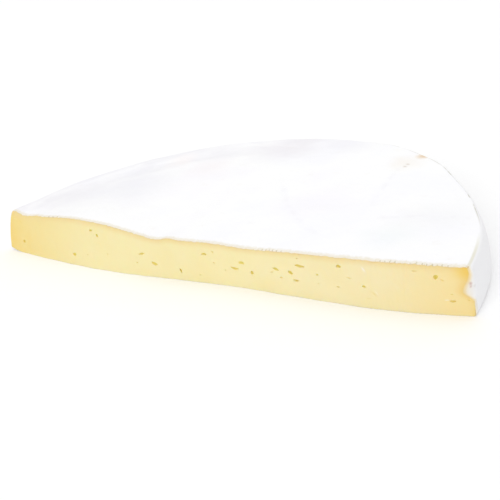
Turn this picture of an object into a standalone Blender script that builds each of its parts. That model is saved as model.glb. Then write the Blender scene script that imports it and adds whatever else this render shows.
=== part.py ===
# Half of a large wheel of soft brie, lying on its flat underside with the cut face towards -Y.
# The wheel is turned about Z, made uneven, and cut. It is then moved so that the origin lies
# on the floor under the middle of its box. Metres, +Z up.

import math

import bmesh
import bpy
from mathutils import Matrix

# Driving dimensions
WHEEL_RADIUS = 0.175
THICKNESS = 0.0288
MM = 0.001

# The rim in section: a round shoulder, an upright side that is fullest low down, and a tight foot
SHOULDER_INSET = 5.0 * MM
SHOULDER_DROP = 4.6 * MM
SIDE_INSET_AT_SHOULDER = 0.9 * MM
FULLEST_HEIGHT = 9.0 * MM
FOOT_INSET = 2.4 * MM
FOOT_HEIGHT = 2.8 * MM

# How finely the wheel and the cut face are divided
STEPS_ROUND = 120
TOP_RINGS = 12
UNDERSIDE_RINGS = 3
ARC_STEPS = 4
CUT_COLUMNS = 72
CUT_ROWS = 9

# The knife's path: a shallow forward bow with a slow wave, and a lean back at the left end
CUT_AT_MIDDLE = -4.2 * MM
CUT_SKEW = 0.8 * MM
CUT_BOW = 4.1 * MM
CUT_HOOK_AT_ENDS = 2.6 * MM
CUT_WAVE = 1.8 * MM
CUT_WAVE_LENGTH = 195 * MM
CUT_WAVE_CREST = 27 * MM
CUT_LEAN = 7.5 * MM
CUT_LEAN_FROM = -65 * MM
CUT_LEAN_TO = -15 * MM
PASTE_SWELL = 0.6 * MM

# Swellings and dips of the top: middle x and y, half width along x and y, height, all in mm
TOP_SWELLINGS = (
    (-88, 0, 30, 50, 3.0),
    (118, 10, 42, 70, 1.0),
    (46, -4, 18, 30, -1.0),
    (-20, -4, 12, 18, -0.8),
    (-34, 46, 22, 30, -0.7),
    (-168, 6, 7, 14, 1.6),
    (-154, 6, 7, 16, -0.8),
    (60, 140, 40, 26, 0.8),
)

# A lip along the rim at the far left, with a shallow trough inside it
TROUGH_RADIUS = 152 * MM
TROUGH_WIDTH = 8 * MM
TROUGH_DEPTH = 1.1 * MM
TROUGH_FROM = math.radians(95)
TROUGH_TO = math.radians(172)

# How far the rim stands out of a true circle
RIM_STRETCH = 1.3 * MM
RIM_STRETCH_ANGLE = math.radians(65)
RIM_WAVE = 0.5 * MM
RIM_WAVES = 7

# Places where the rim stands out or in: angle and half width in degrees, distance in mm
RIM_SWELLINGS = (
    (12, 9, 1.2),
    (34, 12, -1.8),
    (68, 15, 2.5),
    (135, 30, 1.4),
    (181, 14, 0.8),
)

# The rim at the left end slopes in towards the top
END_SLOPE = 3.4 * MM
END_SLOPE_ANGLE = math.radians(183)
END_SLOPE_WIDTH = math.radians(16)

# Eyes in the paste: place along the cut, height, length, height of the eye, tilt in degrees
EYES = (
    (-157, 9.0, 2.8, 2.6, 0),
    (-100, 7.5, 4.2, 2.8, 5),
    (-82, 25.5, 3.4, 1.8, 5),
    (-76, 22.5, 3.2, 2.2, -35),
    (-36, 15.5, 6.4, 2.0, 15),
    (-26, 10.0, 5.2, 3.2, -15),
    (-6, 7.0, 2.2, 3.4, 10),
    (8, 5.5, 2.4, 2.2, 0),
    (14, 20.5, 4.8, 1.9, 3),
    (21, 22.5, 3.2, 1.7, -15),
    (40, 17.5, 6.2, 2.3, -8),
    (35, 13.0, 6.0, 2.2, -12),
    (47, 12.0, 2.0, 3.2, 0),
    (64, 16.8, 5.2, 1.8, -25),
    (67, 11.8, 2.8, 1.8, 0),
    (74, 15.8, 5.0, 3.0, -32),
    (81, 20.8, 7.2, 2.2, -5),
    (77, 11.2, 5.0, 2.0, 0),
    (91, 17.0, 2.4, 2.2, 0),
    (105, 24.0, 4.2, 3.0, 0),
    (103, 11.0, 2.2, 2.0, 0),
    (110, 17.5, 3.6, 1.8, -10),
    (118.5, 13.4, 3.2, 2.6, -20),
    (156.5, 22.2, 3.6, 3.2, -40),
    (164, 8.6, 3.6, 1.8, 0),
)
EYE_DEPTH_SHARE = 0.55

# The fold of rind that lies over the paste at the right end: middle, half sizes, in mm
FOLD_MIDDLE = (172.0, 18.0)
FOLD_HALF_SIZE = (3.0, 1.3, 5.2)
FOLD_TILT = -14
FOLD_SINK = 0.2 * MM

RIND_COLOUR = (0.90, 0.89, 0.88, 1.0)
RIND_ROUGHNESS = 0.9


def clear_scene():
    """Remove what Blender opens with."""
    for item in list(bpy.data.objects):
        bpy.data.objects.remove(item, do_unlink=True)


def new_collection(name):
    """A collection in the scene."""
    collection = bpy.data.collections.new(name)
    bpy.context.scene.collection.children.link(collection)
    return collection


def new_object(name, mesh, collection):
    """An object with this mesh in a collection."""
    item = bpy.data.objects.new(name, mesh)
    collection.objects.link(item)
    return item


def make_cutter(item):
    """Show an object as wires, and keep it out of renders."""
    item.hide_render = True
    item.display_type = "WIRE"


def rind_material():
    """Matt white bloom."""
    material = bpy.data.materials.new("white_rind")
    material.use_nodes = True
    shader = material.node_tree.nodes["Principled BSDF"]
    shader.inputs["Base Color"].default_value = RIND_COLOUR
    shader.inputs["Roughness"].default_value = RIND_ROUGHNESS
    shader.inputs["Metallic"].default_value = 0.0
    return material


def bell(offset, width):
    """1 in the middle and fading to 0 on both sides."""
    return math.exp(-((offset / width) ** 2))


def ease(value, start, end):
    """0 before the start, 1 after the end, and smooth between them."""
    share = min(max((value - start) / (end - start), 0.0), 1.0)
    return share * share * (3.0 - 2.0 * share)


def top_relief(x, y):
    """How far the top stands above the wheel's even thickness."""
    rise = 0.0
    for middle_x, middle_y, width_x, width_y, height in TOP_SWELLINGS:
        across = bell(x - middle_x * MM, width_x * MM)
        along = bell(y - middle_y * MM, width_y * MM)
        rise += height * MM * across * along
    angle = math.atan2(y, x)
    arc_share = ease(angle, TROUGH_FROM, TROUGH_FROM + 0.4)
    arc_share *= 1.0 - ease(angle, TROUGH_TO - 0.3, TROUGH_TO)
    rise -= TROUGH_DEPTH * arc_share * bell(math.hypot(x, y) - TROUGH_RADIUS, TROUGH_WIDTH)
    return rise


def rim_offset(angle, height_share):
    """How far the rim stands outside a true circle, from 0 at the foot to 1 at the top."""
    oval = RIM_STRETCH * math.cos(2.0 * (angle - RIM_STRETCH_ANGLE))
    waves = RIM_WAVE * math.sin(RIM_WAVES * angle + 0.6)
    local = 0.0
    for middle, width, distance in RIM_SWELLINGS:
        turn = math.remainder(angle - math.radians(middle), math.tau)
        local += distance * MM * bell(turn, math.radians(width))
    turn = math.remainder(angle - END_SLOPE_ANGLE, math.tau)
    local -= END_SLOPE * height_share * bell(turn, END_SLOPE_WIDTH)
    return oval + waves + local


def cut_front(x, z):
    """The cut face's y at a place along the cut and a height."""
    share_out = x / WHEEL_RADIUS
    line = CUT_AT_MIDDLE + CUT_SKEW * share_out
    line += CUT_BOW * share_out ** 2 + CUT_HOOK_AT_ENDS * share_out ** 8
    line += CUT_WAVE * math.cos(math.tau * (x - CUT_WAVE_CREST) / CUT_WAVE_LENGTH)
    lean = CUT_LEAN * (1.0 - ease(x, CUT_LEAN_FROM, CUT_LEAN_TO))
    share = min(max(z / THICKNESS, 0.0), 1.3)
    swell = PASTE_SWELL * math.sin(math.pi * min(share, 1.0))
    return line + lean * share - swell


def arc(centre_r, centre_z, half_r, half_z, start, end, steps):
    """Points round part of an ellipse, both ends included."""
    points = []
    for step in range(steps + 1):
        angle = math.radians(start + (end - start) * step / steps)
        points.append((centre_r + half_r * math.cos(angle), centre_z + half_z * math.sin(angle)))
    return points


def wheel_profile():
    """The wheel's outline from the middle of the top, round the rim, to the middle below."""
    shoulder_r = WHEEL_RADIUS - SIDE_INSET_AT_SHOULDER
    flat_r = shoulder_r - SHOULDER_INSET
    points = []
    for ring in range(TOP_RINGS):
        share = 1.0 - (1.0 - ring / TOP_RINGS) ** 1.3
        points.append((flat_r * share, THICKNESS))
    points += arc(flat_r, THICKNESS - SHOULDER_DROP, SHOULDER_INSET, SHOULDER_DROP, 90, 0, ARC_STEPS)
    points.append((WHEEL_RADIUS - 0.3 * MM, (THICKNESS - SHOULDER_DROP + FULLEST_HEIGHT) / 2))
    points.append((WHEEL_RADIUS, FULLEST_HEIGHT))
    foot_r = WHEEL_RADIUS - FOOT_INSET
    points += arc(foot_r, FOOT_HEIGHT, FOOT_INSET, FOOT_HEIGHT, 0, -90, ARC_STEPS)
    for ring in range(1, UNDERSIDE_RINGS + 1):
        points.append((foot_r * (1.0 - ring / UNDERSIDE_RINGS), 0.0))
    return points


def turned_wheel(collection):
    """The even wheel, turned from its profile."""
    points = wheel_profile()
    mesh = bpy.data.meshes.new("wheel_profile")
    vertices = [(radius, 0.0, height) for radius, height in points]
    edges = [(index, index + 1) for index in range(len(points) - 1)]
    mesh.from_pydata(vertices, edges, [])
    profile = new_object("wheel_profile", mesh, collection)
    screw = profile.modifiers.new("turn", "SCREW")
    screw.axis = "Z"
    screw.angle = math.tau
    screw.steps = STEPS_ROUND
    screw.render_steps = STEPS_ROUND
    screw.use_merge_vertices = True
    screw.merge_threshold = 0.0001
    turned = applied_mesh(profile)
    bpy.data.objects.remove(profile, do_unlink=True)
    return turned


def applied_mesh(item):
    """The mesh of an object with its modifiers applied."""
    bpy.context.view_layer.update()
    depsgraph = bpy.context.evaluated_depsgraph_get()
    return bpy.data.meshes.new_from_object(item.evaluated_get(depsgraph))


def make_uneven(mesh):
    """Move the wheel's points out or in at the rim, and up or down on top."""
    for vertex in mesh.vertices:
        x, y, z = vertex.co
        radius = math.hypot(x, y)
        share = radius / WHEEL_RADIUS
        vertex.co.z = z + top_relief(x, y) * (z / THICKNESS) ** 2
        if radius > 0.0:
            offset = rim_offset(math.atan2(y, x), z / THICKNESS)
            factor = 1.0 + offset * share ** 2 / WHEEL_RADIUS
            vertex.co.x = x * factor
            vertex.co.y = y * factor


def knife_block(collection):
    """A block in front of the cut, whose back follows the knife's path."""
    width = 2.2 * WHEEL_RADIUS
    height = 2.0 * THICKNESS
    work = bmesh.new()
    bmesh.ops.create_grid(work, x_segments=CUT_COLUMNS, y_segments=CUT_ROWS, size=0.5)
    bmesh.ops.scale(work, vec=(width, height, 1.0), verts=work.verts)
    upright = Matrix.Rotation(math.radians(90), 3, "X")
    bmesh.ops.rotate(work, matrix=upright, verts=work.verts)
    bmesh.ops.translate(work, vec=(0.0, 0.0, height / 2 - 0.25 * THICKNESS), verts=work.verts)
    front = list(work.verts)
    for vertex in front:
        vertex.co.y = cut_front(vertex.co.x, vertex.co.z)
    grown = bmesh.ops.extrude_face_region(work, geom=list(work.faces))
    outer = [piece for piece in grown["geom"] if isinstance(piece, bmesh.types.BMVert)]
    for vertex in outer:
        vertex.co.y = -1.3 * WHEEL_RADIUS
    bmesh.ops.recalc_face_normals(work, faces=work.faces)
    mesh = bpy.data.meshes.new("knife_block")
    work.to_mesh(mesh)
    work.free()
    block = new_object("knife_block", mesh, collection)
    make_cutter(block)
    return block


def ellipsoid(name, place, half_size, tilt, collection):
    """A low ball squeezed to three half sizes and tilted in the plane of the cut."""
    work = bmesh.new()
    turn = Matrix.Rotation(-math.radians(tilt), 4, "Y")
    shape = Matrix.Translation(place) @ turn @ Matrix.Diagonal((*half_size, 1.0))
    bmesh.ops.create_icosphere(work, subdivisions=2, radius=1.0, matrix=shape)
    mesh = bpy.data.meshes.new(name)
    work.to_mesh(mesh)
    work.free()
    return new_object(name, mesh, collection)


def eye_cutters(collection):
    """One cutter for each eye, with its middle on the cut face."""
    for number, (along, height, length, tall, tilt) in enumerate(EYES, start=1):
        x = along * MM
        z = height * MM
        half_size = (length * MM / 2, length * MM * EYE_DEPTH_SHARE, tall * MM / 2)
        cutter = ellipsoid(f"eye_{number:02d}", (x, cut_front(x, z), z), half_size, tilt, collection)
        make_cutter(cutter)


def rind_fold(collection):
    """The small fold of rind over the paste at the right end."""
    x = FOLD_MIDDLE[0] * MM
    z = FOLD_MIDDLE[1] * MM
    half_size = [size * MM for size in FOLD_HALF_SIZE]
    place = (x, cut_front(x, z) + FOLD_SINK, z)
    fold = ellipsoid("rind_fold", place, half_size, FOLD_TILT, collection)
    make_cutter(fold)
    return fold


def join_or_cut(item, operation, other=None, collection=None):
    """Apply one Boolean to an object's mesh, with an object or a whole collection."""
    boolean = item.modifiers.new("boolean", "BOOLEAN")
    boolean.operation = operation
    boolean.solver = "EXACT"
    if collection is None:
        boolean.object = other
    else:
        boolean.operand_type = "COLLECTION"
        boolean.collection = collection
    result = applied_mesh(item)
    item.modifiers.clear()
    item.data = result


def centre_on_footprint(item):
    """Move the mesh so that the origin is under the middle of its box."""
    xs = [vertex.co.x for vertex in item.data.vertices]
    ys = [vertex.co.y for vertex in item.data.vertices]
    zs = [vertex.co.z for vertex in item.data.vertices]
    middle_x = (min(xs) + max(xs)) / 2
    middle_y = (min(ys) + max(ys)) / 2
    item.data.transform(Matrix.Translation((-middle_x, -middle_y, -min(zs))))


def build():
    """Make the half wheel."""
    clear_scene()
    parts = new_collection("brie_half_wheel")
    cutters = new_collection("cutters")
    eyes = new_collection("eye_cutters")

    wheel = turned_wheel(cutters)
    make_uneven(wheel)
    cheese = new_object("brie_half_wheel", wheel, parts)
    join_or_cut(cheese, "DIFFERENCE", other=knife_block(cutters))
    join_or_cut(cheese, "UNION", other=rind_fold(cutters))
    eye_cutters(eyes)
    join_or_cut(cheese, "DIFFERENCE", collection=eyes)
    centre_on_footprint(cheese)

    cheese.data.materials.clear()
    cheese.data.materials.append(rind_material())
    cheese.data.shade_smooth()
    cheese.data.set_sharp_from_angle(angle=math.radians(35))


build()
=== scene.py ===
import math
import random

import bpy
import numpy as np
from mathutils import Matrix, Vector, noise


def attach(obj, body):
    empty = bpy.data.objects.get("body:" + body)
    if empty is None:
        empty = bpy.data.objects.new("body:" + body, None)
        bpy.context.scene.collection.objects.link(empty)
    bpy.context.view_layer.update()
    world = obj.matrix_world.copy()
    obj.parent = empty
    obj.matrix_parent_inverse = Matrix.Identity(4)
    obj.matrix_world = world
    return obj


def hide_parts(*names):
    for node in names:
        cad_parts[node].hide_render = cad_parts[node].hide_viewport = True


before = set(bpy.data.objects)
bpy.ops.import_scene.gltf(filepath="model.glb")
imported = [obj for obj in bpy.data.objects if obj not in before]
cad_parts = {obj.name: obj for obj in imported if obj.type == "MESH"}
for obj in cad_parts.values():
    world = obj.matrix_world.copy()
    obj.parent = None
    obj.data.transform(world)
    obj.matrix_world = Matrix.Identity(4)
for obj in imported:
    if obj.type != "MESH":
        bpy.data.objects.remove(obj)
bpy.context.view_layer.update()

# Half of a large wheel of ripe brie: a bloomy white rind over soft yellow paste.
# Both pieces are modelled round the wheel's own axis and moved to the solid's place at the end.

CHEESE = "brie_half_wheel"
BODY = "root"
MM = 0.001

# The wheel's sizes, as in the solid
WHEEL_RADIUS = 0.175
THICKNESS = 0.0288
AXIS_PLACE = (-0.52 * MM, -85.08 * MM, 0.0)
SHOULDER = 1.6 * MM
FOOT = 1.0 * MM
FULLEST_HEIGHT = 9.0 * MM
TOP_LEAN = 2.0 * MM
TOP_LEAN_HEIGHT = 15.0 * MM
TOP_LEAN_POWER = 1.7
TOP_TURN = 0.8 * MM
TOP_TURN_FROM = 24.0 * MM
FOOT_LEAN = 1.3 * MM
FOOT_UPRIGHT_WIDTH = math.radians(6)

# The rind's thickness at its foot, on the side and on the top, and how far it laps over the paste
RIND_AT_FOOT = 0.32 * MM
RIND_AT_SIDE = 0.60 * MM
RIND_ON_TOP = 0.80 * MM
RIND_OVER_PASTE = 0.22 * MM
FOOT_TO_SIDE = (0.5 * MM, 8 * MM)
SIDE_TO_TOP = (20 * MM, 28 * MM)

# How finely the pieces are divided: the rind is finest near the cut, and the paste on its cut face
RIND_SIDES = 480
RIND_RING = 2.4 * MM
UNDERSIDE_COARSER = 2
EDGE_SEGMENTS = 5
LEVEL_NORMAL = 0.99
CREASE_EDGE = 0.02
CREASE_CUTS = 1
NEAR_CUT = 4 * MM
ABOVE_FOOT = 1.2 * MM
NEAR_CUT_CUTS = 3
INSIDE_COARSE_FROM = 14 * MM
INSIDE_FACES_KEPT = 0.10
PASTE_CELL = 0.55 * MM
CORE_SIDES = 200
CORE_RING = 3.6 * MM
SMOOTH_ANGLE = math.radians(40)

# The block that gives the paste its finely divided cut face
BLOCK_WIDTH = 2.12 * WHEEL_RADIUS
BLOCK_HEIGHT = 1.5 * THICKNESS
BLOCK_BELOW_FLOOR = 4 * MM
BLOCK_DEPTH = 220 * MM

# The knife's path: a shallow forward bow with a slow wave, and a lean back at the left end
CUT_AT_MIDDLE = -4.2 * MM
CUT_SKEW = 0.8 * MM
CUT_BOW = 4.1 * MM
CUT_HOOK_AT_ENDS = 2.6 * MM
CUT_WAVE = 1.8 * MM
CUT_WAVE_LENGTH = 195 * MM
CUT_WAVE_CREST = 27 * MM
CUT_LEAN = 7.5 * MM
CUT_LEAN_FROM = -65 * MM
CUT_LEAN_TO = -15 * MM
PASTE_SWELL = 0.6 * MM

# Swellings and dips of the top: middle x and y, half width along x and y, height, all in mm,
# and the trough inside the raised lip at the far left, whose ends fade out over angles in radians
TOP_SWELLINGS = (
    (-88, 0, 30, 50, 3.0),
    (118, 10, 42, 70, 1.0),
    (46, -4, 18, 30, -1.0),
    (-20, -4, 12, 18, -0.8),
    (-34, 46, 22, 30, -0.7),
    (-168, 6, 7, 14, 1.6),
    (-154, 6, 7, 16, -0.8),
    (60, 140, 40, 26, 0.8),
    (-118, 5, 22, 12, 1.5),
    (-144, 5, 9, 10, 0.5),
    (-164, 5, 5, 7, -1.8),
    (-11, -4, 6, 8, 1.2),
)
TROUGH_RADIUS = 152 * MM
TROUGH_WIDTH = 8 * MM
TROUGH_DEPTH = 1.1 * MM
TROUGH_FROM = math.radians(95)
TROUGH_TO = math.radians(172)
TROUGH_FADE_IN = 0.4
TROUGH_FADE_OUT = 0.3

# How far the rim stands out of a true circle: a stretch, a wave and single swellings, each with
# its angle and half width in degrees and its distance in mm
RIM_STRETCH = 1.3 * MM
RIM_STRETCH_ANGLE = math.radians(65)
RIM_WAVE = 0.5 * MM
RIM_WAVES = 7
RIM_WAVE_START = 0.6
RIM_SWELLINGS = (
    (12, 9, 1.2),
    (34, 12, -1.8),
    (68, 15, 2.5),
    (135, 30, 1.4),
    (181, 14, 1.4),
)

# The left end's slope and turned-up foot, and the right end's flare
END_SLOPE = 2.7 * MM
END_SLOPE_ANGLE = math.radians(183)
END_SLOPE_WIDTH = math.radians(16)
END_FLARE = 3.2 * MM
END_FLARE_ANGLE = math.radians(-1)
END_FLARE_WIDTH = math.radians(8)
LEFT_FOOT_LIFT = 1.9 * MM
LEFT_FOOT_FROM = 158 * MM
LEFT_FOOT_WIDTH = math.radians(24)

# Soft dents all over the rind, and three faint creases in its top, in mm from the axis
DENT_GRAIN = 26 * MM
DENT_DEPTH = 0.45 * MM
SMALL_DENT_GRAIN = 8 * MM
SMALL_DENT_DEPTH = 0.14 * MM
SMALL_DENT_SHIFT = (7.0, 3.0, 5.0)
DENTS_FULL_HEIGHT = 6 * MM
CREASES = (
    ((14, 97), (17, 91), (30, 70), (49, 47), (67, 29), (80, 21)),
    ((90, 120), (92, 97), (96, 65), (96, 50)),
    ((110, 47), (120, 49), (134, 54), (160, 56)),
)
CREASE_WIDTH = 2.2 * MM
CREASE_DEPTH = 0.12 * MM

# Eyes in the paste: place along the cut, height, length, height of the eye, tilt in degrees
EYES = (
    (-157, 9.0, 3.0, 2.6, 0),
    (-100, 7.5, 4.2, 2.8, 5),
    (-82, 25.5, 3.4, 1.8, 5),
    (-76, 22.5, 3.2, 2.2, -35),
    (-36, 15.5, 6.0, 1.9, 15),
    (-26, 10.0, 5.2, 3.2, -15),
    (-6, 7.0, 2.2, 3.4, 10),
    (8, 5.5, 1.8, 1.3, 0),
    (14, 20.5, 4.8, 1.9, 3),
    (21, 22.5, 2.6, 1.1, -5),
    (40, 17.5, 5.6, 2.2, 0),
    (35, 13.0, 6.0, 2.3, -6),
    (47, 12.0, 2.4, 3.2, 0),
    (64, 16.8, 5.2, 2.0, -14),
    (67, 11.8, 2.6, 1.2, 0),
    (74, 15.8, 4.4, 2.4, -22),
    (81, 20.8, 7.2, 2.3, -2),
    (77, 11.2, 4.6, 1.9, 0),
    (91, 17.0, 2.0, 1.4, 0),
    (105, 24.0, 3.4, 2.4, 0),
    (103, 11.0, 2.0, 1.4, 0),
    (110, 17.5, 3.4, 1.0, -5),
    (118.5, 13.4, 2.8, 1.8, -10),
    (156.5, 22.2, 2.8, 2.9, -30),
    (164, 8.6, 3.6, 1.8, 0),
)
# Fainter eyes that only the close view shows, laid out the same way
FAINT_EYES = (
    (-160, 22.5, 3.0, 0.8, 0),
    (-86, 9.0, 1.6, 1.0, 0),
    (-67, 11.5, 1.6, 1.0, 0),
    (-41, 9.0, 2.0, 1.2, 20),
    (20.5, 15.4, 2.2, 0.8, -10),
    (28, 11.3, 1.4, 1.0, 0),
    (61, 14.3, 2.2, 1.1, 10),
    (79.5, 25.2, 1.8, 0.8, 0),
    (91, 11.4, 1.8, 0.8, 0),
    (146.5, 25.0, 3.4, 0.8, 0),
    (159.5, 20.6, 3.0, 1.0, -30),
    (164, 12.8, 1.8, 1.0, 0),
    (172.0, 9.7, 1.4, 0.8, 0),
)
EYE_DEPTH_SHARE = 0.42
EYE_SIZE = 0.84
FIRST_EYE_SEED = 40

# Scrapes in the cut face: place along the cut, height, length, width, tilt in degrees, depth,
# and how pale they look, or how dark where the number is below zero
# The pale scrapes are painted highlight.
SCRAPES = (
    (119.0, 23.4, 3.6, 0.9, -58, 0.30, 0.9),
    (123.5, 9.6, 5.0, 1.2, -42, 0.22, -0.5),
    (125.0, 10.4, 4.4, 0.8, -52, 0.10, 0.5),
    (120.0, 6.2, 3.6, 1.2, 10, 0.20, -0.4),
    (161.4, 9.1, 2.8, 0.9, 0, 0.30, 0.7),
    (-166.0, 23.8, 6.0, 0.8, -4, 0.10, 0.3),
    (137.0, 15.0, 6.0, 0.9, -50, 0.10, 0.25),
    (99.0, 6.5, 5.0, 0.8, 20, 0.08, 0.2),
)

# Waves of the cut face: length in mm, how much the height counts in them, seed, depth in mm. The
# knife's drag is a wave that shows at one place alone. The right end is calmer.
FACE_WAVES = (
    (34, 1.0, 21, 0.16),
    (11, 1.0, 22, 0.07),
    (2.6, 0.4, 23, 0.025),
)
DRAG_WAVE = (1.5, 0.15, 24, 0.05)
DRAG_MIDDLE = 132 * MM
DRAG_WIDTH = 20 * MM
CALM_END = (160 * MM, 168 * MM)
CALM_SHARE = 0.6

# The rind's cut edge on the top: how far it stands out of the paste, more at the right end, and how
# it is torn, most at two places (middle and half width in mm). Elsewhere it is drawn back.
EDGE_ON_TOP = (20 * MM, 26 * MM)
EDGE_PROUD = 0.22
EDGE_PROUD_AT_RIGHT = 0.3
EDGE_RIGHT = (160 * MM, 170 * MM)
EDGE_DRAWN_BACK = 0.12
TEAR_LENGTH = 7 * MM
TEAR_SEED = 3
TEAR_DEPTH = 0.22
FRINGE_LENGTH = 2.0 * MM
FRINGE_SEED = 5
FRINGE_DEPTH = 0.20
FRINGE_EVERYWHERE = 0.5
TORN_PLACES = ((-106, 14), (146, 20))

# How far the knife pressed that edge down, in mm, with its slow wave
PRESS_DEPTH = 0.30
PRESS_WAVE = 0.06
PRESS_WAVE_LENGTH = 7 * MM
PRESS_SEED = 8
PRESS_REACH = 0.9 * MM
PRESS_HEIGHTS = (24 * MM, 27 * MM)

# The fold of rind that the knife drew round the paste's corner at the right end: its heights, how
# far it laps and how it narrows upwards, where along the cut it starts, how much of it is round, and
# how far it stands out. The paste's corner is drawn back under it, at the top as well.
FOLD_BOTTOM = 3.5 * MM
FOLD_WIDEST = 14.4 * MM
FOLD_TOP_START = 27.5 * MM
FOLD_TOP = 28.7 * MM
FOLD_SIZE = 5.75 * MM
FOLD_TAPER = 0.72
FOLD_NARROW = 26.0 * MM
FOLD_FROM_X = 150 * MM
FOLD_WALL_X = (168.5 * MM, 171.5 * MM)
FOLD_ROUND_SHARE = 0.72
FOLD_PROUD = 0.32 * MM
FOLD_PROUD_SHARE = 0.3
FOLD_LEAST = 0.02 * MM
FOLD_SKIN = 1.6 * MM
FOLD_LEAST_RADIUS = 0.05 * MM
PASTE_CORNER_SHARE = 0.7
TOP_CORNER_TUCK = 0.9 * MM
TOP_CORNER_REACH = 6 * MM

# What the finishes measure: how far they look, in mm, and where the deeper yellow of the right end
# starts: behind the fold, and lower down a little way in
FROM_CUT_REACH = 60.0
FROM_RIGHT_REACH = 60.0
UNDER_RIND_REACH = 40.0
HOLLOW_REACH = 4.0
FRONT_DEPTH = 0.02 * MM
YELLOW_BEHIND_FOLD = 0.75
YELLOW_SET_IN = 2.5 * MM
YELLOW_SET_IN_HEIGHTS = (6 * MM, 15 * MM)


def bell(offset, width):
    """1 in the middle and fading to 0 on both sides."""
    return np.exp(-((offset / width) ** 2))


def ease(value, start, end):
    """0 before the start, 1 after the end, and smooth between them."""
    share = np.clip((value - start) / (end - start), 0.0, 1.0)
    return share * share * (3.0 - 2.0 * share)


def turn_from(angle, middle):
    """The angle from a middle direction, between minus and plus half a turn."""
    return np.remainder(angle - middle + math.pi, math.tau) - math.pi


# The shape functions take places measured from the wheel's axis, in metres. Shares of a height or
# radius may run a little past 1, for the points that the relief lifts past the plain wheel.


def top_relief(x, y):
    """How far the top stands above the wheel's even thickness."""
    rise = 0.0 * x
    for middle_x, middle_y, width_x, width_y, height in TOP_SWELLINGS:
        across = bell(x - middle_x * MM, width_x * MM)
        along = bell(y - middle_y * MM, width_y * MM)
        rise = rise + height * MM * across * along
    angle = np.arctan2(y, x)
    arc_share = ease(angle, TROUGH_FROM, TROUGH_FROM + TROUGH_FADE_IN)
    arc_share = arc_share * (1.0 - ease(angle, TROUGH_TO - TROUGH_FADE_OUT, TROUGH_TO))
    ring = bell(np.hypot(x, y) - TROUGH_RADIUS, TROUGH_WIDTH)
    return rise - TROUGH_DEPTH * arc_share * ring


def rim_offset(angle, height_share):
    """How far the rim stands outside a true circle, from 0 at the foot to 1 at the top."""
    offset = RIM_STRETCH * np.cos(2.0 * (angle - RIM_STRETCH_ANGLE))
    offset = offset + RIM_WAVE * np.sin(RIM_WAVES * angle + RIM_WAVE_START)
    for middle, width, distance in RIM_SWELLINGS:
        near = bell(turn_from(angle, math.radians(middle)), math.radians(width))
        offset = offset + distance * MM * near
    slope = END_SLOPE * height_share * bell(turn_from(angle, END_SLOPE_ANGLE), END_SLOPE_WIDTH)
    flare = END_FLARE * height_share ** 2 * bell(turn_from(angle, END_FLARE_ANGLE), END_FLARE_WIDTH)
    return offset - slope + flare


def left_end(angle):
    """1 at the cut's left end and 0 away from it."""
    return bell(turn_from(angle, math.pi), LEFT_FOOT_WIDTH)


def side_inset(angle, z):
    """How far the side stands in from its fullest height: it leans in above and below."""
    above = np.clip((z - FULLEST_HEIGHT) / TOP_LEAN_HEIGHT, 0.0, 1.5)
    turn = np.clip((z - TOP_TURN_FROM) / (THICKNESS - TOP_TURN_FROM), 0.0, 1.2)
    below = np.clip((FULLEST_HEIGHT - z) / FULLEST_HEIGHT, 0.0, 1.0)
    upright = np.maximum(left_end(angle), bell(turn_from(angle, 0.0), FOOT_UPRIGHT_WIDTH))
    top = TOP_LEAN * above ** TOP_LEAN_POWER + TOP_TURN * turn ** 2
    return top + FOOT_LEAN * below ** 2 * (1.0 - upright)


def foot_lift(x, y, z):
    """How far the underside turns up at the left end."""
    out = np.clip((np.hypot(x, y) - LEFT_FOOT_FROM) / (WHEEL_RADIUS - LEFT_FOOT_FROM), 0.0, 1.1)
    left = left_end(np.arctan2(y, x))
    return LEFT_FOOT_LIFT * out ** 2 * left * np.clip(1.0 - z / THICKNESS, 0.0, 1.0)


def cut_front(x, z):
    """The cut face's y at a place along the cut and a height."""
    share_out = x / WHEEL_RADIUS
    line = CUT_AT_MIDDLE + CUT_SKEW * share_out
    line = line + CUT_BOW * share_out ** 2 + CUT_HOOK_AT_ENDS * share_out ** 8
    line = line + CUT_WAVE * np.cos(math.tau * (x - CUT_WAVE_CREST) / CUT_WAVE_LENGTH)
    lean = CUT_LEAN * (1.0 - ease(x, CUT_LEAN_FROM, CUT_LEAN_TO))
    share = np.clip(z / THICKNESS, 0.0, 1.3)
    swell = PASTE_SWELL * np.sin(math.pi * np.minimum(share, 1.0))
    return line + lean * share - swell


def side_x(y, z):
    """The x of the right end's outer surface. Away from that end the limits keep it a number."""
    fillet = np.clip((z - THICKNESS + SHOULDER) / SHOULDER, 0.0, 1.0)
    drop = SHOULDER * (1.0 - np.sqrt(1.0 - fillet ** 2))
    angle = np.arcsin(np.clip(y / WHEEL_RADIUS, -0.5, 0.5))
    radius = WHEEL_RADIUS + rim_offset(angle, z / THICKNESS) - side_inset(angle, z) - drop
    return np.sqrt(radius ** 2 - np.minimum(y ** 2, 0.9 * radius ** 2))


def fold_size(x, z):
    """How far the rind laps over the paste at the right end, from the side inwards."""
    rising = ease(z, FOLD_BOTTOM, FOLD_WIDEST) ** 3 * (1.0 - ease(z, FOLD_TOP_START, FOLD_TOP))
    taper = 1.0 - FOLD_TAPER * ease(z, FOLD_WIDEST, FOLD_NARROW)
    return FOLD_SIZE * rising * taper * (x > FOLD_FROM_X)


def fold_stand(size):
    """How far the lapping rind stands out of the cut face."""
    return FOLD_PROUD * ease(size / FOLD_SIZE, 0.0, FOLD_PROUD_SHARE)


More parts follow.
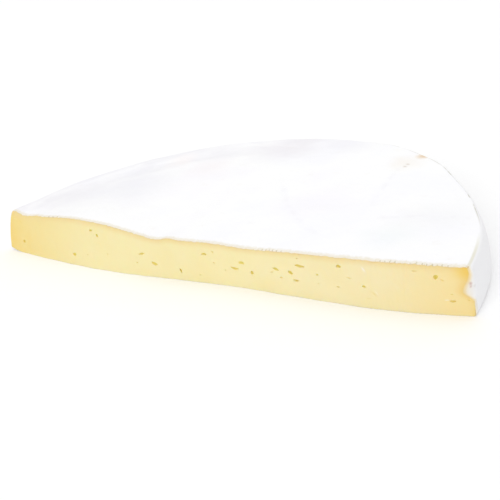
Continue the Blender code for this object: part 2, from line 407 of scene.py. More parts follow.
def waves(x, z, scale, seed):
    """A smooth random wave along the cut, five plain waves of random length, direction and start,
    brought to between about minus and plus 1."""
    rng = random.Random(seed)
    height = 0.0 * x
    for part in range(5):
        length = scale * rng.uniform(0.55, 1.9)
        turn = rng.uniform(-0.9, 0.9)
        phase = rng.uniform(0.0, math.tau)
        along = x * math.cos(turn) + z * math.sin(turn)
        height = height + np.sin(math.tau * along / length + phase)
    return height / 2.6


def rind_edge(x, z):
    """The y where the rind ends: proud and a little torn on the top, drawn back elsewhere."""
    on_top = ease(z, *EDGE_ON_TOP)
    torn = FRINGE_EVERYWHERE
    for middle, width in TORN_PLACES:
        torn = torn + bell(x - middle * MM, width * MM)
    tear = waves(x, z, TEAR_LENGTH, TEAR_SEED) * TEAR_DEPTH
    tear = tear + waves(x, z, FRINGE_LENGTH, FRINGE_SEED) * FRINGE_DEPTH * torn
    stand = EDGE_PROUD + tear + EDGE_PROUD_AT_RIGHT * ease(x, *EDGE_RIGHT)
    proud = on_top * stand - (1.0 - on_top) * EDGE_DRAWN_BACK
    fold = fold_size(x, z) * ease(x, *FOLD_WALL_X)
    run = fold * (FOLD_ROUND_SHARE * (math.pi / 2 - 1.0) + 1.0 - FOLD_ROUND_SHARE)
    return cut_front(x, z) - proud * MM - run - fold_stand(fold)


def crease_share(x, y):
    """1 in the middle of a crease of the top and 0 away from it."""
    nearest = 0.0 * x + 1.0
    for line in CREASES:
        for (start_x, start_y), (end_x, end_y) in zip(line, line[1:]):
            run_x, run_y = (end_x - start_x) * MM, (end_y - start_y) * MM
            off_x, off_y = x - start_x * MM, y - start_y * MM
            share = np.clip((off_x * run_x + off_y * run_y) / (run_x ** 2 + run_y ** 2), 0.0, 1.0)
            nearest = np.minimum(nearest, np.hypot(off_x - share * run_x, off_y - share * run_y))
    return bell(nearest, CREASE_WIDTH)


def dents(places):
    """Soft unevenness of the rind, which the paste under it follows."""
    found = []
    for place in places:
        point = Vector(place)
        slow = noise.noise(point / DENT_GRAIN)
        small = noise.noise(point / SMALL_DENT_GRAIN + Vector(SMALL_DENT_SHIFT))
        found.append(DENT_DEPTH * slow + SMALL_DENT_DEPTH * small)
    return np.array(found)


def make_active(piece):
    """Select one object alone."""
    bpy.ops.object.select_all(action="DESELECT")
    piece.select_set(True)
    bpy.context.view_layer.objects.active = piece


def modify(piece, kind, **settings):
    """Add a modifier with its settings and apply it."""
    make_active(piece)
    modifier = piece.modifiers.new(kind.lower(), kind)
    for name, value in settings.items():
        setattr(modifier, name, value)
    bpy.ops.object.modifier_apply(modifier=modifier.name)


def edit(piece, kind, chosen=None):
    """Enter edit mode with the chosen vertices, edges or faces selected, or all of them."""
    make_active(piece)
    bpy.ops.object.mode_set(mode="EDIT")
    bpy.ops.mesh.select_mode(type=kind)
    bpy.ops.mesh.select_all(action="SELECT" if chosen is None else "DESELECT")
    if chosen is not None:
        bpy.ops.object.mode_set(mode="OBJECT")
        mesh = piece.data
        elements = {"VERT": mesh.vertices, "EDGE": mesh.edges, "FACE": mesh.polygons}[kind]
        elements.foreach_set("select", np.asarray(chosen, dtype=bool))
        bpy.ops.object.mode_set(mode="EDIT")


def leave_edit():
    """Back to object mode."""
    bpy.ops.object.mode_set(mode="OBJECT")


def points(piece):
    """The vertices of a piece as rows of x, y, z."""
    flat = np.empty(len(piece.data.vertices) * 3)
    piece.data.vertices.foreach_get("co", flat)
    return flat.reshape(-1, 3)


def set_points(piece, places):
    """Move the vertices of a piece."""
    piece.data.vertices.foreach_set("co", np.ascontiguousarray(places).ravel())
    piece.data.update()


def face_centres(piece):
    """The middles of a piece's faces."""
    flat = np.empty(len(piece.data.polygons) * 3)
    piece.data.polygons.foreach_get("center", flat)
    return flat.reshape(-1, 3)


def face_normals(piece):
    """The directions of a piece's faces."""
    flat = np.empty(len(piece.data.polygons) * 3)
    piece.data.polygons.foreach_get("normal", flat)
    return flat.reshape(-1, 3)


def face_sides(piece):
    """How many corners each face has."""
    sides = np.empty(len(piece.data.polygons), dtype=np.int32)
    piece.data.polygons.foreach_get("loop_total", sides)
    return sides


def edge_heights(piece):
    """The heights of both ends of each edge."""
    ends = np.empty(len(piece.data.edges) * 2, dtype=np.int64)
    piece.data.edges.foreach_get("vertices", ends)
    return points(piece)[:, 2][ends.reshape(-1, 2)]


def point_value(piece, name, values):
    """Keep one number for each vertex, for the material to read."""
    attribute = piece.data.attributes.new(name, "FLOAT", "POINT")
    attribute.data.foreach_set("value", np.asarray(values, dtype=np.float32))


def ring_wheel(name, sides, ring, side_gap=0.0, foot_gap=0.0, top_gap=0.0):
    """An even round cheese with rounded edges and evenly spaced rings on its faces."""
    low, high = foot_gap, THICKNESS - top_gap
    bpy.ops.mesh.primitive_cylinder_add(
        vertices=sides,
        radius=WHEEL_RADIUS - side_gap,
        depth=high - low,
        location=(0, 0, (low + high) / 2),
    )
    wheel = bpy.context.object
    wheel.name = name
    make_active(wheel)
    bpy.ops.object.transform_apply(location=True, rotation=True, scale=True)
    shoulder, foot = SHOULDER - top_gap, FOOT - foot_gap
    for on_top, rounding in ((True, shoulder), (False, foot)):
        heights = edge_heights(wheel)
        middle = THICKNESS / 2
        chosen = (heights > middle).all(axis=1) if on_top else (heights < middle).all(axis=1)
        edit(wheel, "EDGE", chosen)
        bpy.ops.mesh.bevel(offset=rounding, segments=EDGE_SEGMENTS, affect="EDGES")
        leave_edit()
    edit(wheel, "FACE")
    bands = round((high - low) / ring)
    for band in range(1, bands):
        bpy.ops.mesh.select_all(action="SELECT")
        height = low + foot + (high - shoulder - low - foot) * band / bands
        bpy.ops.mesh.bisect(plane_co=(0, 0, height), plane_no=(0, 0, 1))
    leave_edit()
    for facing, step in ((1, ring), (-1, UNDERSIDE_COARSER * ring)):
        level = face_normals(wheel)[:, 2] * facing > LEVEL_NORMAL
        edit(wheel, "FACE", level & (face_sides(wheel) == sides))
        for count in range(int((WHEEL_RADIUS - side_gap - shoulder) / step) - 1):
            bpy.ops.mesh.inset(thickness=step)
        bpy.ops.mesh.poke()
        leave_edit()
    return wheel


def uneven(places, side_gap):
    """The wheel's points with its true rim and top."""
    x, y, z = places.T
    angle = np.arctan2(y, x)
    share = np.clip(np.hypot(x, y) / (WHEEL_RADIUS - side_gap), 0.0, 1.0)
    top_share = np.clip(z / THICKNESS, 0.0, 1.0) ** 2
    dent = dents(places)
    offset = rim_offset(angle, z / THICKNESS) - side_inset(angle, z)
    offset = offset + dent * ease(z, 0.0, DENTS_FULL_HEIGHT)
    factor = 1.0 + offset * share ** 2 / WHEEL_RADIUS
    relief = top_relief(x, y) + dent - CREASE_DEPTH * crease_share(x, y)
    return np.column_stack((x * factor, y * factor, z + relief * top_share + foot_lift(x, y, z)))


def cut_open(piece, front):
    """Straighten the cut to y = 0, cut along it, and leave the piece straightened."""
    set_points(piece, straightened(points(piece), front))
    edit(piece, "VERT")
    bpy.ops.mesh.bisect(plane_co=(0, 0, 0), plane_no=(0, 1, 0), clear_inner=True, use_fill=False)
    leave_edit()


def straightened(places, front):
    """The points with the cut's line made straight, at y = 0."""
    x, y, z = places.T
    return np.column_stack((x, y - front(x, z), z))


def cut_line_restored(places, front):
    """The opposite: the cut's straight line made true again."""
    x, y, z = places.T
    return np.column_stack((x, y + front(x, z), z))


def make_rind():
    """The skin of bloomy mould: top, rim and underside, open at the cut."""
    rind = ring_wheel("bloomy_rind", RIND_SIDES, RIND_RING)
    refine(rind, crease_share(*face_centres(rind).T[:2]) > CREASE_EDGE, CREASE_CUTS)
    x, y, z = points(rind).T
    point_value(rind, "from_crest", ((WHEEL_RADIUS - np.hypot(x, y)) - (THICKNESS - z)) / MM)
    point_value(rind, "crease", crease_share(x, y) * (z > THICKNESS / 2))
    point_value(rind, "round_angle", np.degrees(np.arctan2(y, x)))
    set_points(rind, uneven(points(rind), 0.0))
    cut_open(rind, rind_edge)
    edit(rind, "FACE", (face_centres(rind)[:, 1] < NEAR_CUT) & (face_sides(rind) > 4))
    bpy.ops.mesh.quads_convert_to_tris()
    leave_edit()
    centres = face_centres(rind)
    refine(rind, (centres[:, 1] < NEAR_CUT) & (centres[:, 2] > ABOVE_FOOT), NEAR_CUT_CUTS)
    set_points(rind, cut_line_restored(points(rind), rind_edge))
    return rind_wall(rind)


def refine(piece, chosen, cuts):
    """Divide the chosen faces more finely."""
    edit(piece, "FACE", chosen)
    bpy.ops.mesh.subdivide(number_cuts=cuts)
    leave_edit()


def rind_wall(rind):
    """Give the skin its thickness, measure it for its finish, press its cut edge down and draw it
    round the right corner."""
    outer_count = len(rind.data.vertices)
    modify(rind, "SOLIDIFY", thickness=RIND_ON_TOP, offset=-1.0, use_rim=True)
    places = points(rind)
    outer, inner = places[:outer_count], places[outer_count:]
    height = outer[:, 2]
    wall = RIND_AT_FOOT + (RIND_AT_SIDE - RIND_AT_FOOT) * ease(height, *FOOT_TO_SIDE)
    wall = wall + (RIND_ON_TOP - RIND_AT_SIDE) * ease(height, *SIDE_TO_TOP)
    inner = outer + (inner - outer) * (wall / RIND_ON_TOP)[:, None]
    places = np.vstack((outer, inner))
    x, y, z = places.T
    inside = np.arange(len(places)) >= outer_count
    from_cut = y - rind_edge(x, z)
    point_value(rind, "inside", inside)
    point_value(rind, "from_cut", np.clip(from_cut / MM, 0.0, FROM_CUT_REACH))
    point_value(rind, "fold", fold_size(x, z) * ease(x, *FOLD_WALL_X) / FOLD_SIZE)
    pressed = np.exp(-np.maximum(from_cut, 0.0) / PRESS_REACH) * ease(z, *PRESS_HEIGHTS)
    depth = PRESS_DEPTH + PRESS_WAVE * waves(x, z, PRESS_WAVE_LENGTH, PRESS_SEED)
    places[:, 2] -= pressed * depth * MM
    set_points(rind, fold_round(places))
    thin_inside(rind, outer_count)
    return rind


def thin_inside(rind, outer_count):
    """Fewer faces on the rind's hidden inner side, away from the cut. An inner face has no corner
    among the outer vertices."""
    corners = np.empty(len(rind.data.loops), dtype=np.int64)
    rind.data.loops.foreach_get("vertex_index", corners)
    starts = np.empty(len(rind.data.polygons), dtype=np.int64)
    rind.data.polygons.foreach_get("loop_start", starts)
    lowest = np.minimum.reduceat(corners, starts)
    centres = face_centres(rind)
    hidden = (lowest >= outer_count) & (centres[:, 1] > INSIDE_COARSE_FROM)
    edit(rind, "FACE", hidden)
    bpy.ops.mesh.decimate(ratio=INSIDE_FACES_KEPT)
    leave_edit()


def fold_round(places):
    """Bend what runs past the cut at the right end round the paste's corner."""
    x, y, z = places.T
    run = cut_front(x, z) - y
    size = fold_size(x, z)
    bend = size * FOLD_ROUND_SHARE
    proud = fold_stand(size)
    outside = side_x(y, z)
    inward = outside - x
    start = proud - bend
    bent = (x > FOLD_FROM_X) & (size > FOLD_LEAST) & (run > start) & (inward < FOLD_SKIN)
    angle = np.clip((run - start) / np.maximum(bend, 1e-6), 0.0, math.pi / 2)
    radius = np.maximum(bend - inward, FOLD_LEAST_RADIUS)
    beyond = np.maximum(run - start - bend * math.pi / 2, 0.0)
    folded_x = outside - np.maximum(bend, inward) + radius * np.cos(angle) - beyond
    folded_run = start + radius * np.sin(angle)
    places = places.copy()
    places[bent, 0] = folded_x[bent]
    places[bent, 1] = (cut_front(folded_x, z) - folded_run)[bent]
    return places


def tucked_in(places):
    """Pull the paste's right corner back inside the fold, and its top there back under the rind."""
    x, y, z = places.T
    size = fold_size(x, z)
    bend = size * FOLD_ROUND_SHARE
    start = fold_stand(size) - bend
    off_x = x - (side_x(y, z) - bend)
    off_run = cut_front(x, z) - y - start
    allowed = np.maximum(bend - RIND_AT_SIDE + RIND_OVER_PASTE, PASTE_CORNER_SHARE * bend)
    distance = np.maximum(np.hypot(off_x, off_run), 1e-9)
    outside = (off_x > 0) & (off_run > 0) & (distance > allowed)
    out = (x > FOLD_FROM_X) & (size > FOLD_LEAST) & outside
    share = allowed / distance
    places = places.copy()
    places[out, 0] -= (off_x * (1.0 - share))[out]
    places[out, 1] += (off_run * (1.0 - share))[out]
    at_top = ease(z, FOLD_TOP_START, FOLD_TOP)
    places[:, 1] += TOP_CORNER_TUCK * at_top * ease(x, *FOLD_WALL_X) * (y < TOP_CORNER_REACH)
    return places


def make_core():
    """The paste's plain body: the wheel inside the rind."""
    side_gap = RIND_AT_SIDE - RIND_OVER_PASTE
    core = ring_wheel(
        "ripe_paste",
        CORE_SIDES,
        CORE_RING,
        side_gap,
        RIND_AT_FOOT - RIND_OVER_PASTE,
        RIND_ON_TOP - RIND_OVER_PASTE,
    )
    set_points(core, straightened(uneven(points(core), side_gap), cut_front))
    return core


def fine_block():
    """A block whose front, at y = 0, is a fine even grid for the cut face."""
    bpy.ops.mesh.primitive_grid_add(
        x_subdivisions=round(BLOCK_WIDTH / PASTE_CELL),
        y_subdivisions=round(BLOCK_HEIGHT / PASTE_CELL),
        size=1.0,
    )
    block = bpy.context.object
    block.name = "cut_block"
    block.scale = (BLOCK_WIDTH, BLOCK_HEIGHT, 1.0)
    block.rotation_euler = (math.pi / 2, 0.0, 0.0)
    block.location = (0.0, 0.0, BLOCK_HEIGHT / 2 - BLOCK_BELOW_FLOOR)
    make_active(block)
    bpy.ops.object.transform_apply(location=True, rotation=True, scale=True)
    edit(block, "FACE")
    bpy.ops.mesh.extrude_region_move(TRANSFORM_OT_translate={"value": (0.0, BLOCK_DEPTH, 0.0)})
    bpy.ops.mesh.select_all(action="SELECT")
    bpy.ops.mesh.normals_make_consistent(inside=False)
    leave_edit()
    return block


def combine(piece, other, operation):
    """One Boolean with another object, which is then removed."""
    modify(piece, "BOOLEAN", operation=operation, object=other, solver="EXACT")
    bpy.data.objects.remove(other, do_unlink=True)


def eye_lump(along, height, length, tall, tilt, seed):
    """One lump the shape of an eye, with its middle on the straightened cut. Three slow waves
    round a ball, and a bend along it, make each lump uneven in its own way."""
    bpy.ops.mesh.primitive_ico_sphere_add(subdivisions=3, radius=1.0)
    lump = bpy.context.object
    rng = random.Random(seed)
    first, second, third, bend = (rng.uniform(-1.0, 1.0) for draw in range(4))
    places = points(lump)
    x, y, z = places.T
    swell = 1.0 + 0.14 * np.sin(2.3 * x + 4 * first) + 0.12 * np.sin(3.1 * z + 4 * second)
    swell = swell + 0.10 * np.sin(4.3 * (x + z) + 4 * third)
    places = places * swell[:, None]
    places[:, 2] += 0.25 * bend * places[:, 0] ** 2
    half_length, half_height = EYE_SIZE * length * MM / 2, EYE_SIZE * tall * MM / 2
    places = places * [half_length, tall * MM * EYE_DEPTH_SHARE, half_height]
    turn = np.array(Matrix.Rotation(-math.radians(tilt), 3, "Y"))
    places = places @ turn.T + [along * MM, 0.0, height * MM]
    set_points(lump, places)
    return lump


def cut_eyes(core):
    """Hollow the eyes out of the cut face."""
    lumps = []
    for number, (along, height, length, tall, tilt) in enumerate(EYES + FAINT_EYES):
        lumps.append(eye_lump(along, height, length, tall, tilt, FIRST_EYE_SEED + number))
    make_active(lumps[0])
    for lump in lumps:
        lump.select_set(True)
    bpy.ops.object.join()
    combine(core, bpy.context.object, "DIFFERENCE")


def face_relief(x, z):
    """The cut face's own unevenness: slow swells, fine drag marks of the knife, and scrapes."""
    relief = scraped(x, z)[0]
    for length, of_height, seed, depth in FACE_WAVES:
        relief = relief + waves(x, z * of_height, length * MM, seed) * depth
    length, of_height, seed, depth = DRAG_WAVE
    dragged = bell(x - DRAG_MIDDLE, DRAG_WIDTH)
    relief = relief + dragged * waves(x, z * of_height, length * MM, seed) * depth
    return relief * MM * (1.0 - ease(x, *CALM_END) * CALM_SHARE)


def scraped(x, z):
    """How deep the scrapes are in mm, and their tone: pale with painted highlight, or dark where it
    is below zero.
    """
    depths, tone = 0.0 * x, 0.0 * x
    for along, height, length, width, tilt, depth, pale in SCRAPES:
        turn = math.radians(tilt)
        off_x, off_z = x - along * MM, z - height * MM
        run = off_x * math.cos(turn) + off_z * math.sin(turn)
        side = off_z * math.cos(turn) - off_x * math.sin(turn)
        share = bell(run, length * MM / 2) * bell(side, width * MM / 2)
        depths = depths + depth * share
        tone = tone + pale * share
    return depths, tone


def make_paste():
    """The soft yellow paste, with a fine cut face."""
    core = make_core()
    combine(core, fine_block(), "INTERSECT")
    cut_eyes(core)
    places = points(core)
    x, y, z = places.T
    front = y < FRONT_DEPTH
    under_rind = THICKNESS + top_relief(x, 0.0 * x) - RIND_ON_TOP - z
    right = side_x(0.0 * x, z) - x - fold_size(x, z) * YELLOW_BEHIND_FOLD
    right = right + YELLOW_SET_IN * (1.0 - ease(z, *YELLOW_SET_IN_HEIGHTS))
    point_value(core, "under_rind", np.clip(under_rind / MM, -1.0, UNDER_RIND_REACH))
    point_value(core, "from_right", np.clip(right / MM, -2.0, FROM_RIGHT_REACH))
    point_value(core, "hollow", np.clip(y / MM, 0.0, HOLLOW_REACH))
    # painted highlight of the pale scrapes, and the tone of the dark ones
    point_value(core, "scrape_highlight_tone", scraped(x, z)[1] * front)
    places[:, 1] += np.where(front, face_relief(x, z), 0.0)
    set_points(core, tucked_in(cut_line_restored(places, cut_front)))
    return core


def finish_piece(piece, material):
    """Move a piece to the solid's place, smooth it and give it its material."""
    set_points(piece, points(piece) + AXIS_PLACE)
    make_active(piece)
    bpy.ops.object.shade_smooth_by_angle(angle=SMOOTH_ANGLE)
    piece.data.materials.clear()
    piece.data.materials.append(material)
    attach(piece, BODY)
    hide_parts(CHEESE)


def linear(colour):
    """An sRGB hex colour as linear red, green, blue and alpha."""
    values = []
    for start in (1, 3, 5):
        share = int(colour[start:start + 2], 16) / 255
        values.append(share / 12.92 if share <= 0.04045 else ((share + 0.055) / 1.055) ** 2.4)
    return (*values, 1.0)


def add_node(tree, kind, inputs, output=0, stops=(), **settings):
    """Add a node with its settings, link or set its inputs, and give one of its outputs."""
    node = tree.nodes.new("ShaderNode" + kind)
    for name, value in settings.items():
        setattr(node, name, value)
    for name, value in inputs.items():
        if isinstance(value, bpy.types.NodeSocket):
            tree.links.new(value, node.inputs[name])
        else:
            node.inputs[name].default_value = value
    if stops:
        elements = node.color_ramp.elements
        while len(elements) < len(stops):
            elements.new(0.5)
        for element, (place, colour) in zip(elements, stops):
            element.position = place
            element.color = linear(colour)
    return node.outputs[output]


def new_material(name):
    """A material with its node tree, its shader and object coordinates."""
    material = bpy.data.materials.new(name)
    material.use_nodes = True
    tree = material.node_tree
    place = add_node(tree, "TexCoord", {}, "Object")
    return material, tree, tree.nodes["Principled BSDF"], place


def paint(tree, colour, layers):
    """Lay tints over a colour. A layer is a tint, its full strength, and the measures that it
    hangs on, each with the value where the tint begins and the value where it is full."""
    for tint, strength, *measures in layers:
        for measure, begins, full in measures:
            strength = add_node(
                tree,
                "MapRange",
                {"Value": measure, "From Min": begins, "From Max": full, "To Max": strength},
                interpolation_type="SMOOTHSTEP",
            )
        colour = add_node(tree, "Mix", {0: strength, 6: colour, 7: linear(tint)}, 2, data_type="RGBA")
    return colour


def patch_layers(tree, place, patches):
    """Round patches of tint that fade out to their radius."""
    layers = []
    for x, y, z, radius, tint, strength in patches:
        centre = Vector((x, y, z)) * MM + Vector(AXIS_PLACE)
        distance = add_node(tree, "VectorMath", {0: place, 1: centre}, "Value", operation="DISTANCE")
        layers.append((tint, strength, (distance, radius * MM, 0.0)))
    return layers


def wandering(tree, place, grain, reach):
    """The place, pushed about by soft noise so that patches get uneven outlines."""
    cloud = add_node(tree, "TexNoise", {"Vector": place, "Scale": 1 / grain, "Detail": 3.0}, "Color")
    push = {0: cloud, 1: [reach] * 3, 2: place}
    pushed = add_node(tree, "VectorMath", push, operation="MULTIPLY_ADD")
    return add_node(tree, "VectorMath", {0: pushed, 1: [-reach / 2] * 3}, operation="ADD")


# Patches on the top, grey and lilac ones painted shade and warmer ones the bloom's own tint: x, y and
# z from the axis and radius in mm, colour, strength
BLOOM_TINTS_AND_SHADE = (
    (-100, 66, 29.8, 50, "#E6E5ED", 0.45),
    (-140, 40, 29.8, 40, "#EBE9EE", 0.50),
    (-12, 153, 29.8, 42, "#EAE6EA", 0.50),
    (-75, 140, 29.8, 40, "#F0EFF3", 0.50),
    (30, 158, 29.8, 30, "#EEEDF3", 0.45),
    (-92, 118, 29.8, 20, "#F7EFEE", 0.45),
    (-56, 106, 29.8, 26, "#F5EEF0", 0.45),
    (90, 130, 29.8, 17, "#F6F0E6", 0.55),
    (140, 52, 29.8, 34, "#EEEEF1", 0.40),
    (122, 24, 29.8, 22, "#ECF1F3", 0.45),
    (60, 60, 29.8, 40, "#F7F4FA", 0.50),
)
# Small places where the bloom has rubbed off, laid out the same way
RUBBED_PLACES = (
    (97.5, 142, 28.8, 6.8, "#E2C398", 0.85),
    (92, 123, 28.8, 2.2, "#D3C8BC", 0.70),
    (92.3, 127, 28.8, 2.2, "#D3C8BC", 0.70),
    (68, 163, 28.8, 3.0, "#B9B7A8", 0.70),
    (173.4, 2.4, 19.2, 1.7, "#C4A095", 0.80),
    (173.6, 2.4, 17.3, 1.6, "#C4A095", 0.75),
    (175.2, 4.6, 16.8, 1.6, "#CFCBC8", 0.70),
)
# Rows of small notches that the knife's teeth left in the rind's cut edge: middle, reach and step
# in mm, and how far in radians their spacing drifts
KNIFE_MARKS = ((-121, 10, 4.4), (62, 10, 2.6), (132, 7, 2.6), (154, 13, 2.6))
NOTCH_DRIFT = 9.0
# How fast the grey streaks change round the rim and across it, and how far in mm the lap's thin
# cream edge reaches
# The grey streaks are painted shade.
STREAKS_PER_DEGREE = 0.09
STREAKS_PER_MM = 0.06
LAP_REACH = 5.0


def bloomy_rind_finish():
    """White mould bloom on ripened crust: chalky and velvety, with grey, cream and tan places, the
    grey partly painted shade.
    """
    material, tree, shader, place = new_material("white_mould_bloom")
    angle, from_crest, from_cut, fold, crease, inside = (
        add_node(tree, "Attribute", {}, "Fac", attribute_name=name)
        for name in ("round_angle", "from_crest", "from_cut", "fold", "crease", "inside")
    )
    cloudy = add_node(tree, "TexNoise", {"Vector": place, "Scale": 1 / (60 * MM), "Detail": 2.0})
    colour = add_node(tree, "ValToRGB", {"Fac": cloudy}, stops=(
        (0.32, "#F9F8FB"),
        (0.50, "#FBFBFB"),
        (0.68, "#F9F9FC"),
    ))

    # Painted shade: grey streaks over the back of the top and rim, which follow the rim; and crust
    # that shows through the bloom
    turn = add_node(tree, "Math", {0: angle, 1: STREAKS_PER_DEGREE}, operation="MULTIPLY")
    inward = add_node(tree, "Math", {0: from_crest, 1: STREAKS_PER_MM}, operation="MULTIPLY")
    round_place = add_node(tree, "CombineXYZ", {"X": turn, "Y": inward})
    back_shade_streaks = add_node(
        tree, "TexNoise", {"Vector": round_place, "Scale": 1.0, "Detail": 2.0, "Distortion": 0.6}
    )
    crust = add_node(
        tree, "TexNoise", {"Vector": place, "Scale": 1 / (9 * MM), "Detail": 4.0, "Roughness": 0.6}
    )
    colour = paint(tree, colour, (
        # painted grey shade at the back, near the rim
        ("#E7E5EB", 0.50, (angle, 62, 100), (from_crest, 70, 4), (back_shade_streaks, 0.30, 0.70)),
        ("#F3EFEA", 0.35, (crust, 0.58, 0.82)),
    ))
    # Patches of the bloom's own tint, and grey patches of painted shade
    adrift = wandering(tree, place, 26 * MM, 22 * MM)
    colour = paint(tree, colour, patch_layers(tree, adrift, BLOOM_TINTS_AND_SHADE))

    # Painted shade in the creases and on the side below the crest, and the crest: a cream band near
    # the cut and a broken dark line further on, both partly painted shade
    crease_shade_share = add_node(
        tree,
        "MapRange",
        {"Value": crust, "From Min": 0.35, "From Max": 0.65, "To Min": 0.02, "To Max": 0.22},
        interpolation_type="SMOOTHSTEP",
    )
    crease_shade = add_node(tree, "Math", {0: crease, 1: crease_shade_share}, operation="MULTIPLY")
    broken = add_node(
        tree, "TexNoise", {"Vector": place, "Scale": 1 / (14 * MM), "Detail": 4.0, "Roughness": 0.6}
    )
    colour = paint(tree, colour, (
        # painted shade in the creases
        ("#E6E3EA", crease_shade),
        # painted shade: a pale grey over the side and shoulder below the crest
        ("#EEEEF0", 0.90, (from_crest, 1.5, -1.5)),
        # the crest's cream band near the cut: partly thinner, worn bloom, partly painted shade
        ("#DFDCC8", 0.80, (from_crest, -0.5, 0.9), (from_crest, 2.4, 1.3), (angle, 14, 4)),
        # a broken dark line along the crest: partly worn bloom, partly painted shade
        (
            "#C2C0B0", 0.90, (from_crest, -0.1, 0.5), (from_crest, 1.4, 0.7),
            (angle, 13, 26), (angle, 92, 80), (broken, 0.40, 0.58),
        ),
    ))

    # The cut edge: crushed cream that frays out, and the thinned rind where it laps over the paste
    fray = add_node(
        tree, "TexNoise", {"Vector": place, "Scale": 1 / (1.6 * MM), "Detail": 3.0, "Roughness": 0.6}
    )
    frayed = add_node(
        tree,
        "MapRange",
        {"Value": fray, "From Min": 0.3, "From Max": 0.7, "To Min": -0.5, "To Max": 0.5},
        interpolation_type="SMOOTHSTEP",
    )
    off_fold = add_node(
        tree,
        "MapRange",
        {"Value": fold, "From Min": 0.0, "From Max": 0.4, "To Min": 1.0, "To Max": 0.3},
        interpolation_type="SMOOTHSTEP",
    )
    from_cut = add_node(tree, "Math", {0: frayed, 1: off_fold, 2: from_cut}, operation="MULTIPLY_ADD")
    from_lap = add_node(tree, "Math", {0: fold, 1: -LAP_REACH, 2: from_cut}, operation="MULTIPLY_ADD")
    colour = paint(tree, colour, (
        ("#E9E2D0", 0.85, (from_cut, 3.4, 0.2)),
        ("#E6DAC2", 0.85, (from_lap, 2.0, -5.0), (fold, 0.0, 0.5)),
        ("#E8CB86", 0.80, (from_cut, 2.2, 0.0), (fold, 0.0, 0.3)),
    ))

    # Notches of the knife's teeth, a little unevenly spaced
    along = add_node(tree, "SeparateXYZ", {"Vector": place}, "X")
    drift = add_node(tree, "TexNoise", {"Vector": place, "Scale": 1 / (9 * MM), "Detail": 3.0})
    drift = add_node(tree, "Math", {0: drift, 1: NOTCH_DRIFT}, operation="MULTIPLY")
    for middle, reach, step in KNIFE_MARKS:
        phase = {0: along, 1: math.tau / (step * MM), 2: drift}
        phase = add_node(tree, "Math", phase, operation="MULTIPLY_ADD")
        teeth = add_node(tree, "Math", {0: phase}, operation="SINE")
        left, right = (middle - reach) * MM, (middle + reach) * MM
        colour = paint(tree, colour, ((
            "#BDB28A", 0.65, (teeth, 0.3, 0.95), (from_cut, 1.3, 0.3),
            (along, left, left + reach * MM / 2), (along, right, right - reach * MM / 2),
        ),))

    # The cream inner side of the skin, and the rubbed places with their uneven outlines
    torn = wandering(tree, place, 3 * MM, 2 * MM)
    colour = paint(tree, colour, (("#E4CA94", 1.0, (inside, 0.10, 0.95)),))
    colour = paint(tree, colour, patch_layers(tree, torn, RUBBED_PLACES))

    # Chalky, with the soft light edge of a fuzzy skin, over fine fuzz and shallow dimples
    tree.links.new(colour, shader.inputs["Base Color"])
    shader.inputs["Roughness"].default_value = 0.88
    shader.inputs["Sheen Weight"].default_value = 0.2
    shader.inputs["Sheen Roughness"].default_value = 0.6
    shader.inputs["Specular IOR Level"].default_value = 0.25
    fuzz = add_node(
        tree, "TexNoise", {"Vector": place, "Scale": 1 / (1.1 * MM), "Detail": 4.0, "Roughness": 0.65}
    )
    dimple = add_node(tree, "TexNoise", {"Vector": place, "Scale": 1 / (4.5 * MM), "Detail": 2.0})
    relief = add_node(tree, "Math", {0: fuzz, 1: 0.4, 2: dimple}, operation="MULTIPLY_ADD")
    bump = add_node(tree, "Bump", {"Strength": 0.45, "Distance": 0.4 * MM, "Height": relief})
    tree.links.new(bump, shader.inputs["Normal"])
    return material


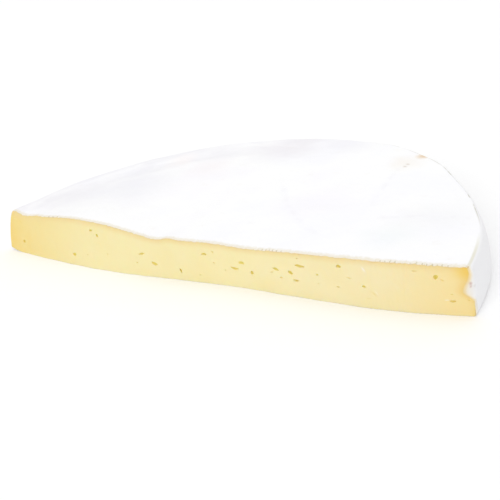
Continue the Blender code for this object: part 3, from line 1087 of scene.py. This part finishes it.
def ripe_paste_finish():
    """Ripe brie: moist, slightly waxy, straw yellow, deeper at both ends and under the rind."""
    material, tree, shader, place = new_material("ripe_paste")
    from_right, under_rind, hollow, scrape = (
        add_node(tree, "Attribute", {}, "Fac", attribute_name=name)
        for name in ("from_right", "under_rind", "hollow", "scrape_highlight_tone")
    )
    along = add_node(tree, "SeparateXYZ", {"Vector": place}, "X")
    across = add_node(
        tree, "MapRange", {"Value": along, "From Min": -WHEEL_RADIUS, "From Max": WHEEL_RADIUS}
    )

    # Straw yellow along the cut, deepest at the left end
    colour = add_node(tree, "ValToRGB", {"Fac": across}, stops=(
        (0.00, "#EAC962"),
        (0.08, "#EBD58D"),
        (0.26, "#EDE1AB"),
        (0.60, "#EFE3B0"),
        (0.86, "#EDE0B4"),
        (1.00, "#EED796"),
    ))

    # Soft clouds, the right end, the paste under the rind, their corner, the eyes, and the scrapes:
    # painted highlight in the pale ones, a darker tone in the others
    drift = add_node(tree, "TexNoise", {"Vector": place, "Scale": 1 / (22 * MM), "Detail": 3.0})
    colour = paint(tree, colour, (
        ("#EDDDA0", 0.35, (drift, 0.35, 0.70)),
        ("#E9C776", 0.75, (from_right, 7.0, 0.0)),
        ("#E9CF90", 0.75, (under_rind, 4.5, 0.0)),
        ("#EBC54C", 0.75, (from_right, 12.0, 1.0), (under_rind, 9.0, 2.5)),
        ("#E3D05C", 0.80, (hollow, 0.05, 0.70)),
        # painted highlight in the pale scrapes
        ("#FBF8EC", 0.80, (scrape, 0.05, 0.90)),
        ("#E6D388", 0.70, (scrape, -0.05, -0.60)),
    ))

    # Moist, and a little light goes into it, over a fine curd grain
    tree.links.new(colour, shader.inputs["Base Color"])
    shader.inputs["Roughness"].default_value = 0.42
    shader.inputs["IOR"].default_value = 1.45
    shader.inputs["Subsurface Weight"].default_value = 0.35
    shader.inputs["Subsurface Radius"].default_value = (1.0, 0.7, 0.35)
    shader.inputs["Subsurface Scale"].default_value = 2.0 * MM
    curd = add_node(
        tree, "TexNoise", {"Vector": place, "Scale": 1 / (2.2 * MM), "Detail": 4.0, "Roughness": 0.6}
    )
    bump = add_node(tree, "Bump", {"Strength": 0.2, "Distance": 0.3 * MM, "Height": curd})
    tree.links.new(bump, shader.inputs["Normal"])
    return material


def floor_finish():
    """Plain matt white paper."""
    material, _, shader, _ = new_material("white_paper_sweep")
    shader.inputs["Base Color"].default_value = linear("#FDFDFD")
    shader.inputs["Roughness"].default_value = 0.9
    return material


# The studio: a wide floor in metres, an even white dome, and far soft lights, each with its name,
# where it stands, its spread in degrees and its strength
FLOOR_WIDTH = 12.0
DOME_STRENGTH = 0.82
SOFT_LIGHTS = (
    ("key", (0.0, -1.4, 0.9), 40, 0.62),
    ("top", (0.0, 0.1, 1.5), 50, 0.37),
)


def make_floor():
    """A wide pale floor."""
    bpy.ops.mesh.primitive_plane_add(size=FLOOR_WIDTH, location=(0.0, 0.0, 0.0))
    floor = bpy.context.object
    floor.name = "floor"
    make_active(floor)
    bpy.ops.object.transform_apply(location=True, rotation=True, scale=True)
    floor.data.materials.append(floor_finish())


def distant_light(name, place, spread, strength):
    """A far soft light that shines from a place towards the cheese."""
    light = bpy.data.lights.new(name, "SUN")
    light.angle = math.radians(spread)
    light.energy = strength
    lamp = bpy.data.objects.new(name, light)
    bpy.context.scene.collection.objects.link(lamp)
    lamp.rotation_euler = (-Vector(place)).to_track_quat("-Z", "Y").to_euler()


def make_lights():
    """A bright white studio: an even dome, a key over the cut and a soft top light."""
    world = bpy.data.worlds.new("white_studio")
    world.use_nodes = True
    background = world.node_tree.nodes["Background"]
    background.inputs["Color"].default_value = linear("#FFFFFF")
    background.inputs["Strength"].default_value = DOME_STRENGTH
    bpy.context.scene.world = world
    for name, place, spread, strength in SOFT_LIGHTS:
        distant_light(name, place, spread, strength)
    view = bpy.context.scene.view_settings
    view.view_transform = "Standard"
    view.look = "None"
    view.exposure = 0.0


# The camera at the photo's viewing angle, worked out from the outline of the cheese: its place in
# metres from the wheel's axis, its direction, its lens in mm and its shift
CAMERA_FROM_AXIS = (0.2867, -0.3162, 0.2130)
CAMERA_AZIMUTH = math.radians(36.77)
CAMERA_ELEVATION = math.radians(23.69)
CAMERA_ROLL = math.radians(-11.23)
LENS = 55.13
SENSOR_WIDTH = 36.0
NEAREST = 10 * MM
SHIFT_X = -0.0021
SHIFT_Y = -0.0446


def make_camera():
    """A camera at the photo's viewing angle."""
    data = bpy.data.cameras.new("camera")
    data.lens = LENS
    data.sensor_width = SENSOR_WIDTH
    data.shift_x = SHIFT_X
    data.shift_y = SHIFT_Y
    data.clip_start = NEAREST
    camera = bpy.data.objects.new("camera", data)
    bpy.context.scene.collection.objects.link(camera)
    back = Vector((
        math.sin(CAMERA_AZIMUTH) * math.cos(CAMERA_ELEVATION),
        -math.cos(CAMERA_AZIMUTH) * math.cos(CAMERA_ELEVATION),
        math.sin(CAMERA_ELEVATION),
    ))
    right = (-back).cross(Vector((0.0, 0.0, 1.0))).normalized()
    up = right.cross(-back)
    tilted_right = right * math.cos(CAMERA_ROLL) + up * math.sin(CAMERA_ROLL)
    tilted_up = up * math.cos(CAMERA_ROLL) - right * math.sin(CAMERA_ROLL)
    turn = Matrix((tilted_right, tilted_up, back)).transposed()
    place = Vector(CAMERA_FROM_AXIS) + Vector(AXIS_PLACE)
    camera.matrix_world = Matrix.Translation(place) @ turn.to_4x4()
    bpy.context.scene.camera = camera


def build():
    """Model both pieces, put them in the solid's place, and set up the studio."""
    rind = make_rind()
    paste = make_paste()
    finish_piece(rind, bloomy_rind_finish())
    finish_piece(paste, ripe_paste_finish())
    make_floor()
    make_lights()
    make_camera()


build()
